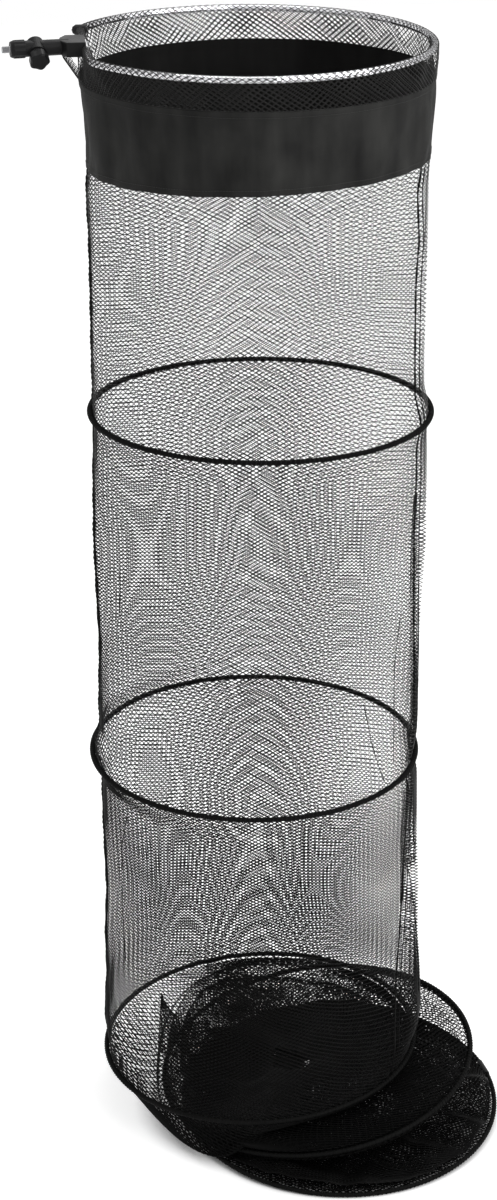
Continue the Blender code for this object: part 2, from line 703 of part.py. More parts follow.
def folded_panel(name, upper, lower, upper_drop, fold_drop):
    """A net tube folded flat: in from the upper ring to a waist, and out to the lower one."""
    upper_rim = fold_rim(upper, -layer_lift)
    lower_rim = fold_rim(lower, layer_lift)
    middle = (upper.centre + lower.centre) / 2
    high = upper.centre.z - upper_drop
    low = high - fold_drop
    fold_start = (1 - bar_height) / 2
    fold_end = (1 + bar_height) / 2

    def waist(angle, height):
        return Vector((middle.x + HEAP_WAIST_RADIUS * cos(angle), middle.y + HEAP_WAIST_RADIUS * sin(angle), height))

    def where(share, angle):
        if share < 1 / 2:
            return upper_rim(angle).lerp(waist(angle, high), share / fold_start)
        return waist(angle, low).lerp(lower_rim(angle), (share - fold_end) / (1 - fold_end))

    net_tube(name, where)


folded_panel("net_panel_4", ring_4, ring_5, HEAP_LAYER_1, HEAP_LAYER_2)
folded_panel("net_panel_5", ring_5, ring_6, HEAP_LAYER_3, HEAP_LAYER_4)

# Base: a flat net inside the lowest ring
steepest = sqrt(ring_6.slopes[0] ** 2 + ring_6.slopes[1] ** 2)
lowest = ring_6.centre.z - RING_RADIUS * steepest - SLEEVE_RADIUS
base_middle = Vector((ring_6.centre.x, ring_6.centre.y, lowest + BASE_LIFT))
base_rim = fold_rim(ring_6, -layer_lift)

bm = bmesh.new()
hub_vert = bm.verts.new(base_middle)
rim_verts = [bm.verts.new(base_rim(2 * pi * side / RING_SIDES)) for side in range(RING_SIDES)]
for side, vert in enumerate(rim_verts):
    bm.faces.new((hub_vert, vert, rim_verts[(side + 1) % RING_SIDES]))
base = solid_sheet(from_bmesh("base_net", bm))
place(base, net_frame)
paint(base, dark, 0.8, 0)

# Moulded clip over the joint in the lowest ring, along its second facet from +X
clip_turn = 3 * pi / RING_SIDES
clip_frame = empty("clip_frame", ring_6.rim(RING_RADIUS * cos(pi / RING_SIDES), clip_turn),
                   (ring_6.turn @ Euler((pi / 2, 0, clip_turn)).to_quaternion()).to_euler(), net_frame)
clip = cylinder("ring_6_clip", CLIP_RADIUS, -CLIP_LENGTH / 2, CLIP_LENGTH / 2)
soften(clip, CLIP_EDGE)
place(clip, clip_frame)
clip_bore = cylinder("clip_bore", SLEEVE_RADIUS + TOUCH_GAP, -CLIP_LENGTH, CLIP_LENGTH, cutter=True)
place(clip_bore, clip_frame)
boolean(clip, clip_bore)
clip_face = block("clip_face", (-CLIP_LENGTH, -CLIP_LENGTH, -CLIP_LENGTH),
                  (-SLEEVE_RADIUS, CLIP_LENGTH, CLIP_LENGTH), cutter=True)
place(clip_face, clip_frame)
boolean(clip, clip_face)
paint(clip, black, 0.4, 0)
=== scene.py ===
"""Keep net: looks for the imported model, with the photograph's studio and camera."""

from math import cos, pi, radians, sin

import bpy
import numpy as np
from mathutils import Matrix, Vector


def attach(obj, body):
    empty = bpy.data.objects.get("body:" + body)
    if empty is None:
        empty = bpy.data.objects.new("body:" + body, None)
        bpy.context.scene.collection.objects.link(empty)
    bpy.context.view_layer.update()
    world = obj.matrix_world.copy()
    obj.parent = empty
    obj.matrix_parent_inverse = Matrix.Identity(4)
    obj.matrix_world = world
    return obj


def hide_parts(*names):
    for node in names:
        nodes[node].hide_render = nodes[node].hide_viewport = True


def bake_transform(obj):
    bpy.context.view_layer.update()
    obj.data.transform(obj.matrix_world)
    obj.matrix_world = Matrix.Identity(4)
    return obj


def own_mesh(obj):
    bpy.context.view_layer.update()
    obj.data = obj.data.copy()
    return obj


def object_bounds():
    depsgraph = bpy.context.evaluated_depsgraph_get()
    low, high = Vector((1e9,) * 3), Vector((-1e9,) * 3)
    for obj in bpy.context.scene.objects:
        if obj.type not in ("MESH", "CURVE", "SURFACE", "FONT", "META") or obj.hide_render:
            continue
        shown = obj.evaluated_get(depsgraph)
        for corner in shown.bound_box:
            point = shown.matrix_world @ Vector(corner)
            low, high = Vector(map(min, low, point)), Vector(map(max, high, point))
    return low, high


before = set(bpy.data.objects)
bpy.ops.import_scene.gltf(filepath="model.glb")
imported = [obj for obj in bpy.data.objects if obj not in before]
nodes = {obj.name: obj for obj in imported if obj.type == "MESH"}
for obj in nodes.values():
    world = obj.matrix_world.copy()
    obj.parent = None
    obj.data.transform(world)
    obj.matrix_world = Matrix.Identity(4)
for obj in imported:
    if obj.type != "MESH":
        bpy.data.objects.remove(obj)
cad_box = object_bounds()

# The net's own frame: the middle of the top ring, turned so that -Y looks at the camera
NET_TURN = radians(-15)
TOP_CENTRE = Vector((0.326572, -0.031435, 0))
net_turn = np.array(Matrix.Rotation(NET_TURN, 3, "Z"))

# Top ring and its bracket
TOP_RADIUS = 0.2535
TUBE_RADIUS = 0.0045
BRACKET_TURN = radians(-8)
BRACKET_HALF = 0.028
FLAT_HALF_ANGLE = radians(27)
FLAT_BEARING = pi + BRACKET_TURN - NET_TURN
CORNER_REACH = 0.020

# Coarse net and band below it: heights, and the radius and the shift along X of the band's two edges
COLLAR_FOOT = -0.037
BAND_FOOT = -0.148
BAND_TOP_RADIUS = 0.2460
BAND_FOOT_RADIUS = 0.2385
BAND_TOP_LEAN = 0.0100
BAND_FOOT_LEAN = 0.0128

# Lower rings, their sleeves and whipping, and the net's edges at them
RING_RADIUS = 0.247
SLEEVE_RADIUS = 0.0032
WHIP_TURNS = 236
WHIP_THREAD = 0.0008
NET_RADIUS = 0.2429
LOWEST = 6

# Each lower ring's centre in the net's frame, and the rise of its plane along X and Y
RINGS = {
    2: ((0.0156, 0, -0.5283), (0, -0.0209)),
    3: ((0.0067, 0, -1.0718), (0, 0)),
    4: ((0.0171, 0, -1.5908), (0.0427, 0.0014)),
    5: ((0.1075, -0.0279, -1.6150), (0.1403, 0.0623)),
    6: ((0.1423, -0.0720, -1.6585), (-0.0060, 0.0555)),
}


def turned(directions):
    """Directions of the net's own frame, in the model's frame."""
    return np.asarray(directions) @ net_turn.T


def in_world(points):
    """Points of the net's own frame, in the model's frame."""
    return turned(points) + np.array(TOP_CENTRE)


# Camera and lamps, placed in the net's own frame: millimetres, metres and degrees
SENSOR = 36
LENS = 77.736
CAMERA_PLACE = (-0.0017, -3.564, 0.691)
CAMERA_DIP = 23.13
NET_MIDDLE = (0, 0, -0.8)


def add_camera():
    """The camera that was fitted to the photo."""
    eye = bpy.data.cameras.new("camera")
    eye.sensor_width = SENSOR
    eye.lens = LENS
    camera = bpy.data.objects.new("camera", eye)
    camera.location = in_world(CAMERA_PLACE)
    camera.rotation_euler = (radians(90 - CAMERA_DIP), 0, NET_TURN)
    bpy.context.scene.collection.objects.link(camera)
    bpy.context.scene.camera = camera


def add_lamp(name, place, size, watts):
    """A round soft lamp that faces the middle of the net."""
    lamp = bpy.data.lights.new(name, "AREA")
    lamp.shape = "DISK"
    lamp.size = size
    lamp.energy = watts
    holder = bpy.data.objects.new(name, lamp)
    holder.location = in_world(place)
    aim = Vector(in_world(NET_MIDDLE)) - holder.location
    holder.rotation_euler = aim.to_track_quat("-Z", "Y").to_euler()
    bpy.context.scene.collection.objects.link(holder)


add_camera()
add_lamp("key_lamp", (2.6, -2.0, 1.5), 3.6, 95)
add_lamp("fill_lamp", (-2.6, -2.0, 0.4), 2.2, 4)
add_lamp("top_lamp", (0.4, 1.2, 2.2), 2.0, 30)
bpy.context.scene.view_settings.view_transform = "Standard"


# Shader maths as Python expressions
class Signal:
    """A shader socket that Python's operators work on."""

    def __init__(self, finish, socket):
        self.finish = finish
        self.socket = socket

    def math(self, operation, *values):
        return self.finish.add("ShaderNodeMath", {"operation": operation}, *values)

    def __add__(self, other):
        return self.math("ADD", self, other)

    def __sub__(self, other):
        return self.math("SUBTRACT", self, other)

    def __rsub__(self, other):
        return self.math("SUBTRACT", other, self)

    def __mul__(self, other):
        return self.math("MULTIPLY", self, other)

    def sine(self):
        return self.math("SINE", self)

    def held(self):
        """The signal kept from 0 to 1."""
        return self.finish.add("ShaderNodeClamp", {}, self)

    __radd__ = __add__
    __rmul__ = __mul__


class Finish:
    """A material with one Principled shader."""

    def __init__(self, name, color, roughness, metallic=0, specular=0.5):
        self.material = bpy.data.materials.new(name)
        self.material.use_nodes = True
        self.tree = self.material.node_tree
        self.shader = self.tree.nodes["Principled BSDF"]
        self.feed("Base Color", color)
        self.feed("Roughness", roughness)
        self.feed("Metallic", metallic)
        self.feed("Specular IOR Level", specular)
        self.place = self.add("ShaderNodeTexCoord", {}, out="Object")

    def fill(self, socket, value):
        if isinstance(value, Signal):
            self.tree.links.new(value.socket, socket)
        elif socket.type == "RGBA":
            socket.default_value = (*value, 1)
        else:
            socket.default_value = value

    def feed(self, socket, value):
        self.fill(self.shader.inputs[socket], value)

    def add(self, kind, settings, *values, out=0, **named):
        """One node: its settings first, then the values or links of its sockets."""
        node = self.tree.nodes.new(kind)
        for key, value in settings.items():
            setattr(node, key, value)
        inputs = [socket for socket in node.inputs if socket.enabled]
        for socket, value in zip(inputs, values):
            self.fill(socket, value)
        for key, value in named.items():
            self.fill(node.inputs[key], value)
        outputs = [socket for socket in node.outputs if socket.enabled]
        return Signal(self, outputs[out] if isinstance(out, int) else node.outputs[out])

    def stretched(self, scale, place=None):
        return self.add("ShaderNodeMapping", {}, Vector=place or self.place, Scale=scale)

    def noise(self, scale, detail, place=None):
        return self.add("ShaderNodeTexNoise", {}, Vector=place or self.place, Scale=scale, Detail=detail)

    def between(self, low, high, share):
        """A colour between two, by a share from 0 to 1."""
        return self.add("ShaderNodeMix", {"data_type": "RGBA"}, share, low, high)

    def axis(self, index, place):
        return self.add("ShaderNodeSeparateXYZ", {}, place, out=index)

    def bump(self, height, depth, strength):
        self.feed("Normal", self.add("ShaderNodeBump", {}, Strength=strength, Distance=depth, Height=height))

    def edge(self, radius):
        """1 on an edge that is worn to the radius, and 0 on a flat face."""
        rounded = self.add("ShaderNodeBevel", {"samples": 4}, Radius=radius)
        normal = self.add("ShaderNodeNewGeometry", {}, out="Normal")
        product = {"operation": "DOT_PRODUCT"}
        same = self.add("ShaderNodeVectorMath", product, rounded, normal, out="Value")
        return ((1 - same) * 6).held()


def moulded_plastic(name, tone, roughness):
    """Black moulded plastic with a fine grain, paler where its edges are rubbed."""
    finish = Finish(name, (tone, tone, tone), roughness, specular=0.14)
    grain = finish.noise(1800, 3)
    cloud = finish.noise(60, 3)
    rubbed = finish.edge(0.0006) * (cloud * 1.4).held()
    dark = (tone * 0.8, tone * 0.8, tone * 0.85)
    worn = (tone * 3.2, tone * 3.2, tone * 3.2)
    finish.feed("Base Color", finish.between(dark, worn, (rubbed * 0.55 + cloud * 0.15).held()))
    finish.feed("Roughness", roughness + (cloud - 0.5) * 0.25)
    finish.bump(grain, 0.00012, 0.7)
    return finish.material


def bare_metal(name, color, roughness, lines, stretch):
    """Metal with fine drawn or turned lines, stretched along one axis."""
    finish = Finish(name, color, roughness, metallic=1)
    drawn = finish.noise(lines, 4, finish.stretched(stretch))
    cloud = finish.noise(45, 3)
    dull = tuple(c * 0.72 for c in color)
    finish.feed("Base Color", finish.between(dull, color, (cloud * 0.9 + drawn * 0.4).held()))
    finish.feed("Roughness", roughness + (drawn - 0.5) * 0.22 + (cloud - 0.5) * 0.12)
    finish.bump(drawn, 0.00005, 0.5)
    return finish.material


def twisted_thread(name, tone, roughness, pitch, specular):
    """Thread: fine filaments across it, and paler patches that are partly dust and partly a painted sheen.
    """
    finish = Finish(name, (tone, tone, tone), roughness, specular=specular)
    ply = finish.noise(pitch, 2)
    # Paler patches of thread: part dust, part painted sheen where the threads would catch the light
    dust_and_sheen = finish.noise(14, 3)
    low = (tone * 0.7, tone * 0.7, tone * 0.74)
    high = (tone * 1.9, tone * 1.85, tone * 1.75)
    finish.feed("Base Color", finish.between(low, high, (dust_and_sheen * 0.8 + ply * 0.4 - 0.1).held()))
    finish.feed("Roughness", roughness + (ply - 0.5) * 0.3)
    finish.bump(ply, 0.0002, 0.6)
    return finish.material


def woven_cloth(name, tone, roughness, pitch):
    """Black woven cloth on the piece's own UV map, in metres along and down the cloth; its streaks are
    painted fold shade.
    """
    finish = Finish(name, (tone, tone, tone), roughness, specular=0.08)
    chart = finish.add("ShaderNodeUVMap", {"uv_map": "cloth"})
    warp = (finish.axis(0, chart) * (2 * pi / pitch)).sine()
    weft = (finish.axis(1, chart) * (2 * pi / pitch)).sine()
    weave = warp * weft
    # Streaks and clouds of darker and paler cloth: painted shade of soft folds, not the cloth's own colour
    painted_fold_streak = finish.noise(1, 3, finish.stretched((34, 7, 1), chart))
    cloud = finish.noise(13, 3)
    low = (tone * 0.45, tone * 0.45, tone * 0.45)
    high = (tone * 1.8, tone * 1.8, tone * 1.72)
    painted_fold_shade = painted_fold_streak * 1.3 + cloud * 1.3 + weave * 0.12 - 0.85
    finish.feed("Base Color", finish.between(low, high, painted_fold_shade.held()))
    finish.feed("Roughness", roughness + weave * 0.06)
    finish.bump(weave * 0.5 + painted_fold_streak * 0.3, 0.0002, 0.5)
    return finish.material


# How bright the floor glows and the world lights the object, and how near a thing dims the floor's glow as a
# painted contact shadow
FLOOR_GLOW = 0.58
AMBIENT = 0.56
CONTACT_REACH = 0.03


def painted_floor():
    """Pale floor that the camera sees as white, with a painted contact shadow: its glow dims close under
    what stands on it.
    """
    finish = Finish("pale_floor", (0.80, 0.80, 0.80), 0.8)
    path = finish.tree.nodes.new("ShaderNodeLightPath")
    seen = Signal(finish, path.outputs["Is Camera Ray"])
    mirrored = Signal(finish, path.outputs["Is Glossy Ray"])
    through = Signal(finish, path.outputs["Is Transmission Ray"])
    # Painted contact shadow: the floor's glow fades where ambient occlusion finds something close above it
    open_sky = finish.add("ShaderNodeAmbientOcclusion", {"samples": 6}, out="AO", Distance=CONTACT_REACH)
    outside_painted_shadow = (open_sky * 1.6 - 0.6).held()
    finish.feed("Emission Color", finish.between((0, 0, 0), (1, 1, 1), outside_painted_shadow))
    finish.feed("Emission Strength", (seen + mirrored + through).held() * FLOOR_GLOW)
    return finish.material


def light_world():
    """White to the camera, in mirrors and through glass, and dimmer as light on the object."""
    world = bpy.data.worlds.new("studio")
    bpy.context.scene.world = world
    world.use_nodes = True
    tree = world.node_tree
    shade = tree.nodes["Background"]
    shade.inputs["Color"].default_value = (1, 1, 1, 1)
    path = tree.nodes.new("ShaderNodeLightPath")
    shown = path.outputs["Is Camera Ray"]
    for rays in ("Is Glossy Ray", "Is Transmission Ray"):
        both = tree.nodes.new("ShaderNodeMath")
        both.operation = "ADD"
        tree.links.new(shown, both.inputs[0])
        tree.links.new(path.outputs[rays], both.inputs[1])
        shown = both.outputs[0]
    level = tree.nodes.new("ShaderNodeMapRange")
    level.inputs["To Min"].default_value = AMBIENT
    level.inputs["To Max"].default_value = 1
    tree.links.new(shown, level.inputs["Value"])
    tree.links.new(level.outputs["Result"], shade.inputs["Strength"])


light_world()
black_plastic = moulded_plastic("black_plastic", 0.008, 0.42)
knob_plastic = moulded_plastic("knob_plastic", 0.007, 0.36)
turned_steel = bare_metal("turned_steel", (0.36, 0.36, 0.37), 0.30, 900, (0.05, 1, 1))
drawn_tube = bare_metal("drawn_tube", (0.82, 0.82, 0.84), 0.17, 500, (1, 1, 0.06))
turned_brass = bare_metal("turned_brass", (0.72, 0.52, 0.22), 0.30, 700, (1, 1, 1))
dull_wire = bare_metal("dull_wire", (0.30, 0.30, 0.31), 0.42, 600, (1, 1, 0.1))
fine_thread = twisted_thread("fine_thread", 0.0014, 0.38, 2200, 0.08)
coarse_thread = twisted_thread("coarse_thread", 0.011, 0.42, 1500, 0.12)
binding_thread = twisted_thread("binding_thread", 0.0022, 0.5, 1800, 0.08)
pale_thread = twisted_thread("pale_thread", 0.036, 0.6, 2500, 0.3)
band_cloth = woven_cloth("band_cloth", 0.0215, 0.72, 0.0007)
# The band's own cloth made darker for its inner face: painted shade inside the ring
band_shaded_inside = woven_cloth("band_shaded_inside", 0.006, 0.8, 0.0007)
sleeve_cloth = woven_cloth("sleeve_cloth", 0.0028, 0.7, 0.0008)


# Threads and sheets as meshes
def unit(vectors):
    return vectors / np.maximum(np.linalg.norm(vectors, axis=-1, keepdims=True), 1e-12)


def tubes(paths, outward, radius, sides=3, closed=False, flat=1):
    """Round threads along many paths at once, as points and faces.

    outward is each point's upper side, and flat is a tape's thickness as a share of its width."""
    if closed:
        along = np.roll(paths, -1, 1) - np.roll(paths, 1, 1)
    else:
        along = np.gradient(paths, axis=1)
    along = unit(along)
    across = unit(np.cross(along, outward))
    upper = np.cross(across, along) * flat
    turn = 2 * pi * np.arange(sides) / sides
    ring = np.cos(turn)[:, None] * upper[:, :, None] + np.sin(turn)[:, None] * across[:, :, None]
    points = paths[:, :, None] + ring * np.asarray(radius)
    count, length = paths.shape[:2]
    number = np.arange(count * length * sides).reshape(count, length, sides)
    start = number if closed else number[:, :-1]
    follow = np.roll(number, -1, 1) if closed else number[:, 1:]
    walls = np.stack([start, np.roll(start, -1, 2), np.roll(follow, -1, 2), follow], -1).reshape(-1, 4)
    faces = walls.tolist()
    if not closed:
        faces += number[:, 0, ::-1].tolist() + number[:, -1].tolist()
    return points.reshape(-1, 3), faces


def join_parts(parts):
    """Several (points, faces) as one."""
    points, faces, count = [], [], 0
    for part_points, part_faces in parts:
        points.append(part_points)
        faces += [[corner + count for corner in face] for face in part_faces]
        count += len(part_points)
    return np.concatenate(points), faces


def piece(name, part, material, body, slot, *replaced):
    """A mesh in the model's frame that rides on a body."""
    points, faces = part
    mesh = bpy.data.meshes.new(name)
    mesh.from_pydata(points.tolist(), [], faces)
    mesh.shade_smooth()
    mesh.materials.append(material)
    made = bpy.data.objects.new(name, mesh)
    bpy.context.scene.collection.objects.link(made)
    if body:
        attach(made, body)
    if replaced:
        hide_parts(*replaced)
    return made


def net_lay(surface, columns, rows, radius, side, closed=True, steps=1, sides=3, flat=1, swell=None):
    """One lay of threads of a diamond net: all run down and to one side over surface(turn, share).

    turn and share run from 0 to 1 round and down the net, and rows counts half diamonds. At
    the edge of an open net each thread turns back, as at a selvedge. swell(turn, share) is the
    thread's thickness as a share of its radius."""
    half = 2 * columns
    step = np.arange(rows * steps + 1) / steps
    first = 2 * np.arange(columns)[:, None]
    lay = side
    if closed:
        column = first + side * step
    else:
        column = half - np.abs(half - (first + (0 if side > 0 else 2) + side * step) % (2 * half))
        lay = np.sign(np.gradient(column, axis=1))[..., None]
    turn = column / half
    share = np.broadcast_to(step / rows, turn.shape)
    paths = surface(turn, share)
    around = surface(turn + 0.2 / half, share) - surface(turn - 0.2 / half, share)
    down = surface(turn, share + 0.2 / rows) - surface(turn, share - 0.2 / rows)
    outward = unit(np.cross(down, around))
    thick = radius * (swell(turn, share) if swell else np.ones_like(share))[..., None]
    return tubes(paths + outward * lay * thick * flat * 0.5, outward, thick[..., None], sides, flat=flat)


def gather(soft):
    """Gives a soft piece a mesh of its own."""
    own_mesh(soft)


# Rings of the net
def ring_point(number, angle, radius, height=0):
    """Points round a ring, radius out from its centre and height above its plane."""
    centre, slopes = RINGS[number]
    upright = Vector((-slopes[0], -slopes[1], 1)).normalized()
    turn = np.array(Vector((0, 0, 1)).rotation_difference(upright).to_matrix())
    angle, radius, height = np.broadcast_arrays(angle, radius, height)
    flat = np.stack([radius * np.cos(angle), radius * np.sin(angle), height], -1)
    return flat @ turn.T + np.array(centre)


def add_ring_sleeve(number):
    """The wire's cloth sleeve, and the thread that whips it to the net."""
    body = f"ring_{number}"
    thick = SLEEVE_RADIUS * (1.02 if number == LOWEST else 1.10)
    around = np.linspace(0, 2 * pi, 240, endpoint=False)
    ripple = 1 + 0.05 * np.sin(around * 97 + number) + 0.03 * np.sin(around * 41)
    path = in_world(ring_point(number, around, RING_RADIUS))[None]
    upward = np.broadcast_to((0.0, 0.0, 1.0), path.shape)
    tube = tubes(path, upward, (ripple * thick)[None, :, None, None], 10, closed=True)
    piece(f"ring_{number}_binding", tube, sleeve_cloth, body, "sleeve_fabric", f"ring_{number}_sleeve")
    step = np.linspace(0, 2 * pi, WHIP_TURNS * 8, endpoint=False)
    roll = step * WHIP_TURNS
    reach = thick * 1.07
    whip = in_world(ring_point(number, step, RING_RADIUS + reach * np.cos(roll), reach * np.sin(roll)))
    centre = in_world(ring_point(number, step, RING_RADIUS))
    thread = tubes(whip[None], (whip - centre)[None], WHIP_THREAD, 3, closed=True)
    piece(f"ring_{number}_whipping", thread, binding_thread, body, "sleeve_fabric")


for number in RINGS:
    add_ring_sleeve(number)


# Hanging net between the rings: height, then left edge, stitched seam and right edge across it
SECTIONS = {
    1: (
        (-0.190, -0.2289, 0.2283, 0.2500), (-0.271, -0.2263, 0.2364, 0.2515),
        (-0.366, -0.2262, 0.2349, 0.2520), (-0.448, -0.2267, 0.2333, 0.2513),
        (-0.516, -0.2261, 0.2336, 0.2524),
    ),
    2: (
        (-0.535, -0.2251, 0.2355, 0.2558), (-0.624, -0.2285, 0.2403, 0.2597),
        (-0.735, -0.2301, 0.2427, 0.2612), (-0.831, -0.2275, 0.2451, 0.2567),
        (-0.897, -0.2253, 0.2467, 0.2550), (-0.997, -0.2283, 0.2469, 0.2553),
        (-1.073, -0.2277, 0.2458, 0.2549),
    ),
    3: (
        (-1.099, -0.2267, 0.2387, 0.2561), (-1.215, -0.2259, 0.2391, 0.2596),
        (-1.318, -0.2233, 0.2392, 0.2648), (-1.399, -0.2271, 0.2355, 0.2659),
        (-1.468, -0.2262, 0.2276, 0.2702), (-1.528, -0.2299, 0.2249, 0.2729),
    ),
}
NET_COLUMNS = 80
LAYS = ((1, "left"), (-1, "right"))

# Half the hanging net's depth between its rings, how far from a ring its width and its depth
# are still the ring's, and how much closer its columns stand in the middle
DRAWN_DEPTH = 0.215
ROUND_REACH = 0.045
DEPTH_REACH = 0.23
MIDDLE_CROWDING = 0.055

# Top and foot of each hanging net
SPANS = {1: (-0.160, -0.528), 2: (-0.528, -1.072), 3: (-1.072, -1.583)}

# Spare net folded over beside the seam: height, left and right edge; then how far it stands
# off the net, its rows and its thread
PLEATS = {
    2: (
        (-0.65, 0.2376, 0.2435), (-0.775, 0.2370, 0.2489), (-0.86, 0.2390, 0.2540),
        (-0.99, 0.2400, 0.2560), (-1.06, 0.2347, 0.2546),
    ),
    3: (
        (-1.10, 0.2318, 0.2450), (-1.215, 0.2321, 0.2453), (-1.29, 0.2347, 0.2449),
        (-1.345, 0.2351, 0.2406),
    ),
}
PLEAT_STAND = 0.0035
PLEAT_ROW = 0.0028
PLEAT_THREAD = 0.0005

# Creases in the front of the net: its panel, then height and place across along it
CREASES = (
    (2, (-0.763, -0.1880), (-0.800, -0.1890), (-0.835, -0.1910)),
    (2, (-0.843, 0.2223), (-0.907, 0.2143), (-0.972, 0.2128), (-1.040, 0.2125)),
    (2, (-0.940, 0.1660), (-0.995, 0.1764), (-1.036, 0.1892), (-1.060, 0.1960)),
    (3, (-1.130, -0.1823), (-1.207, -0.1942), (-1.276, -0.1971), (-1.346, -0.1954), (-1.400, -0.1930)),
    (3, (-1.287, 0.2471), (-1.327, 0.2547), (-1.378, 0.2611), (-1.440, 0.2666), (-1.500, 0.2690)),
)
CREASE_RADIUS = 0.0007


def band_circle(angle, radius, lean, height):
    return np.stack([radius * np.cos(angle) + lean, radius * np.sin(angle), height], -1)


def band_top_edge(angle):
    """The band's top edge in the net's frame."""
    height = COLLAR_FOOT - 0.0055 + 0.0010 * np.cos(angle)
    return band_circle(angle, BAND_TOP_RADIUS, BAND_TOP_LEAN, height)


def band_foot_edge(angle):
    """The band's foot edge in the net's frame, lowest at its left back."""
    height = BAND_FOOT - 0.0137 + 0.0093 * np.cos(angle) - 0.0060 * np.sin(angle)
    return band_circle(angle, BAND_FOOT_RADIUS, BAND_FOOT_LEAN, height)


def ring_edge(number, height):
    """The net's edge at a ring, a little above or below the ring's plane, as a function of the angle."""
    return lambda angle: ring_point(number, angle, NET_RADIUS, height)


def section_at(number, height):
    """Left edge, seam and right edge of a hanging net at a height."""
    rows = np.array(SECTIONS[number])[::-1]
    return [np.interp(height, rows[:, 0], rows[:, side]) for side in (1, 2, 3)]


def near_edge(distance, reach):
    """1 at a ring, falling smoothly to 0 at the reach."""
    part = np.clip(distance / reach, 0, 1)
    return (1 - part) ** 2 * (1 + 2 * part)


def drawn_net(number, top, foot, phase):
    """The surface of a net tube: round at its edges, shallower between them, with a seam down its right.

    turn starts at the right edge and runs round by the back."""
    def surface(turn, share):
        turn = turn % 1
        across = 1 - 4 * np.minimum(turn, 1 - turn)
        away = np.where(turn < 0.5, 1, -1)
        angle = np.arctan2(away * np.sqrt(np.maximum(1 - across ** 2, 0)), across)
        high = top(angle)
        low = foot(angle)
        height = high[..., 2] * (1 - share) + low[..., 2] * share
        left, seam, right = section_at(number, height)
        across = across + 0.004 * np.sin(9 * pi * across + phase + 5 * share) * (1 - across ** 2)
        across = across - MIDDLE_CROWDING * np.sin(pi * across)
        wide = (left + right) / 2 + (right - left) / 2 * across
        reach = np.clip((wide - left) / (seam - left), 0, 1)
        deep = away * (4 * reach * (1 - reach) * DRAWN_DEPTH + 0.0012)
        length = np.abs(high[..., 2] - low[..., 2])
        at_top = near_edge(share * length, ROUND_REACH)
        at_foot = near_edge((1 - share) * length, ROUND_REACH)
        drawn = 1 - at_top - at_foot
        x = wide * drawn + high[..., 0] * at_top + low[..., 0] * at_foot
        round_top = near_edge(share * length, DEPTH_REACH)
        round_foot = near_edge((1 - share) * length, DEPTH_REACH)
        rounded = np.clip(round_top + round_foot, 0, 1)
        round_top = round_top / np.maximum(round_top + round_foot, 1)
        round_foot = rounded - round_top
        y = deep * (1 - rounded) + high[..., 1] * round_top + low[..., 1] * round_foot
        sway = 0.003 * np.sin(3 * angle + phase) + 0.0015 * np.sin(7 * angle + 2 * phase)
        return in_world(np.stack([x, y, height + sway * np.sin(2 * pi * share)], -1))
    return surface


def add_net(number, surface, columns, rows, radius, body, swell):
    """Both lays of a net that stands for a panel, each a piece of its own."""
    made = []
    for side, lay in LAYS:
        threads = net_lay(surface, columns, rows, radius, side, swell=swell)
        name = f"net_{number}_{lay}_lay"
        made.append(piece(name, threads, fine_thread, body, "net", f"net_panel_{number}"))
    return made


def front_place(number, height, x):
    """Where a point of the front sheet lies round and down its net, from 0 to 1."""
    left, _, right = section_at(number, height)
    across = (2 * x - left - right) / (right - left)
    across = np.clip(across + MIDDLE_CROWDING * np.sin(pi * across), -1, 1)
    top, foot = SPANS[number]
    return 1 - (1 - across) / 4, np.clip((top - height) / (top - foot), 0, 1)


def sheet_cord(number, surface, heights, places, radius):
    """A cord on the front sheet through places across it, beaded by its stitches."""
    level = np.linspace(heights[0], heights[-1], 120)
    x = np.interp(-level, -np.asarray(heights), places)
    turn, share = front_place(number, level, x)
    path = surface(turn, share)[None]
    outward = np.broadcast_to(turned((0, -1, 0)), path.shape)
    beads = radius * (1 + 0.25 * np.sin(level * 700) + 0.2 * np.sin(level * 130))
    return tubes(path, outward, beads[None, :, None, None], 5)


def add_seams(number, surface, body):
    """The stitched seam beside the right edge, its outer row of stitches, and the rolled left seam."""
    top, foot = SPANS[number]
    level = np.linspace(top - 0.001, foot + 0.001, 24)
    left, seam, _ = section_at(number, level)
    seams = (("left", left, 0.0023), ("right", seam, 0.0014), ("outer", seam + 0.0075, 0.0008))
    for name, x, radius in seams:
        cord = sheet_cord(number, surface, level, x, radius)
        gather(piece(f"net_{number}_{name}_seam", cord, binding_thread, body, "net"))


def strip_at(rows, turn, share):
    """Height and place across a strip whose rows are height, left and right edge."""
    level = rows[0, 0] + (rows[-1, 0] - rows[0, 0]) * share
    low = np.interp(-level, -rows[:, 0], rows[:, 1])
    high = np.interp(-level, -rows[:, 0], rows[:, 2])
    return level, low + (high - low) * turn


def add_pleat(number, surface, body):
    """A narrow fold of spare net in front of the sheet."""
    rows = np.array(PLEATS[number])

    def ribbon(turn, share):
        place = surface(*front_place(number, *strip_at(rows, turn, share)))
        return place + turned((0, -PLEAT_STAND, 0))

    for side, lay in LAYS:
        count = round((rows[0, 0] - rows[-1, 0]) / PLEAT_ROW)
        fold = net_lay(ribbon, 4, count, PLEAT_THREAD, side, closed=False)
        gather(piece(f"net_{number}_pleat_{lay}_lay", fold, fine_thread, body, "net"))


def thread_taper(left, right, last):
    """Thread thickness at the left, the right and the last columns, as shares of that in the middle."""
    def taper(turn, share):
        across = 1 - 4 * np.minimum(turn % 1, 1 - turn % 1)
        return np.interp(across, (-1, -0.3, 0.3, 0.88, 0.97), (left, 1, 1, right, last))
    return taper


# How far above or below its ring's plane a hanging net's edge is sewn
EDGE_GAP = 0.0004

